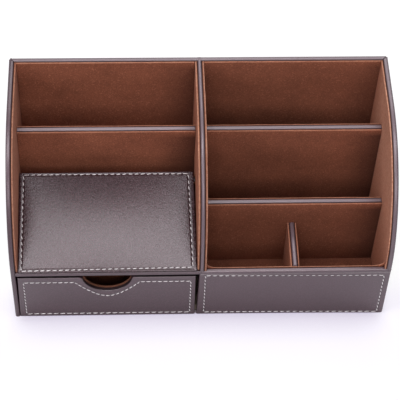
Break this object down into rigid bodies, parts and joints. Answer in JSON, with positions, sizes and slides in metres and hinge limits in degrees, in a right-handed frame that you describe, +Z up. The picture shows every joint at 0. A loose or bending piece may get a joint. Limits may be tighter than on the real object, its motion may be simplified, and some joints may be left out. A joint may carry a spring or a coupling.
{
  "type": "desk organizer with lift lid",
  "caption": "Leather-wrapped desk organizer with suede-lined compartments, a narrow slot, a low box under a sloping lift lid, and a drawer with a finger notch.",
  "frame": {"origin": "middle of the underside, where the felt rests", "axes": "+X to the right seen from the front, +Y to the back, +Z up"},
  "size_m": [0.32, 0.152, 0.166],
  "materials": {
    "leather": "fine-grained dark brown leather, semi-matte, with off-white stitching",
    "suede": "brushed reddish-brown suede cloth on card",
    "felt": "dark felt",
    "board": "plain fibreboard",
    "drawer_board": "fibreboard covered in reddish-brown suede cloth"
  },
  "bodies": {
    "body": {"back_board": "board", "back_leather": "leather", "back_lining_left": "suede", "back_lining_right": "suede", "base_board": "board", "base_felt": "felt", "floor_lining_front": "suede", "floor_lining_middle": "suede", "floor_lining_rear": "suede", "front_panel_board": "board", "front_panel_leather": "leather", "front_panel_lining": "suede", "left_rear_divider_board": "board", "left_rear_divider_leather": "leather", "left_rear_divider_lining_back": "suede", "left_rear_divider_lining_front": "suede", "left_side_board": "board", "left_side_leather": "leather", "left_side_lining": "suede", "lid_box_divider_board": "board", "lid_box_divider_leather": "leather", "lid_box_divider_lining_back": "suede", "lid_box_divider_lining_front": "suede", "lid_hinge_strip": "leather", "middle_wall_board": "board", "middle_wall_leather": "leather", "middle_wall_lining_left": "suede", "middle_wall_lining_right": "suede", "pocket_divider_board": "board", "pocket_divider_leather": "leather", "pocket_divider_lining_left": "suede", "pocket_divider_lining_right": "suede", "right_front_divider_board": "board", "right_front_divider_leather": "leather", "right_front_divider_lining_back": "suede", "right_front_divider_lining_front": "suede", "right_rear_divider_board": "board", "right_rear_divider_leather": "leather", "right_rear_divider_lining_back": "suede", "right_rear_divider_lining_front": "suede", "right_side_board": "board", "right_side_leather": "leather", "right_side_lining": "suede", "shelf_board": "board", "shelf_leather": "leather", "shelf_lining_box": "suede", "shelf_lining_rear": "suede", "shelf_lining_slot": "suede"},
    "lid": {"lid_board": "board", "lid_leather": "leather", "lid_lining": "suede"},
    "drawer": {"drawer_back": "drawer_board", "drawer_bottom": "drawer_board", "drawer_floor_lining": "suede", "drawer_front_board": "board", "drawer_front_leather": "leather", "drawer_front_lining": "suede", "drawer_side_left": "drawer_board", "drawer_side_right": "drawer_board"}
  },
  "joints": [
    {"name": "lid_hinge", "type": "hinge", "parent": "body", "child": "lid", "pos_m": [0, 0.0093, 0.09233], "axis": [-1, 0, 0], "range_deg": [0, 119.5]},
    {"name": "drawer_slide", "type": "slide", "parent": "body", "child": "drawer", "axis": [0, -1, 0], "range_m": [0, 0.105]}
  ]
}
